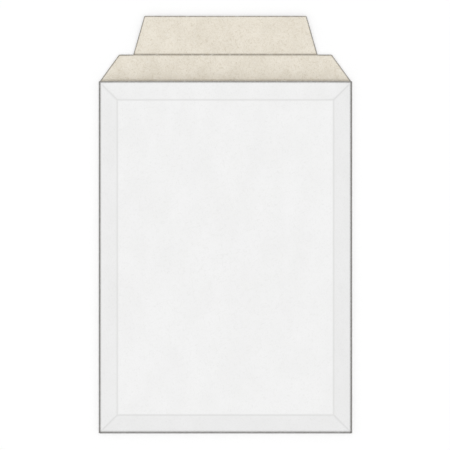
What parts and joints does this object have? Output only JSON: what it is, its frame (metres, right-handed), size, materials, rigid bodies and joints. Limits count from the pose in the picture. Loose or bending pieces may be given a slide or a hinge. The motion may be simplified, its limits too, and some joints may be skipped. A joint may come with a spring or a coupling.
{
  "type": "cardboard envelope",
  "caption": "Open cardboard envelope: a shallow pocket with a raised front panel inside a creased sloping border, and a stepped, tapering closing flap laid back flat.",
  "frame": {"origin": "middle of the pocket's back panel, on its outer face, between the two side folds and halfway from the foot fold to the mouth", "axes": "+X across the envelope, +Y from the foot fold to the flap, +Z from the back panel to the front panel"},
  "size_m": [0.18, 0.2965, 0.01],
  "materials": {
    "white_top_board": "uncoated solid board, matt white outside and pale natural beige inside"
  },
  "bodies": {
    "root": {"folded_board": "white_top_board"}
  },
  "joints": []
}
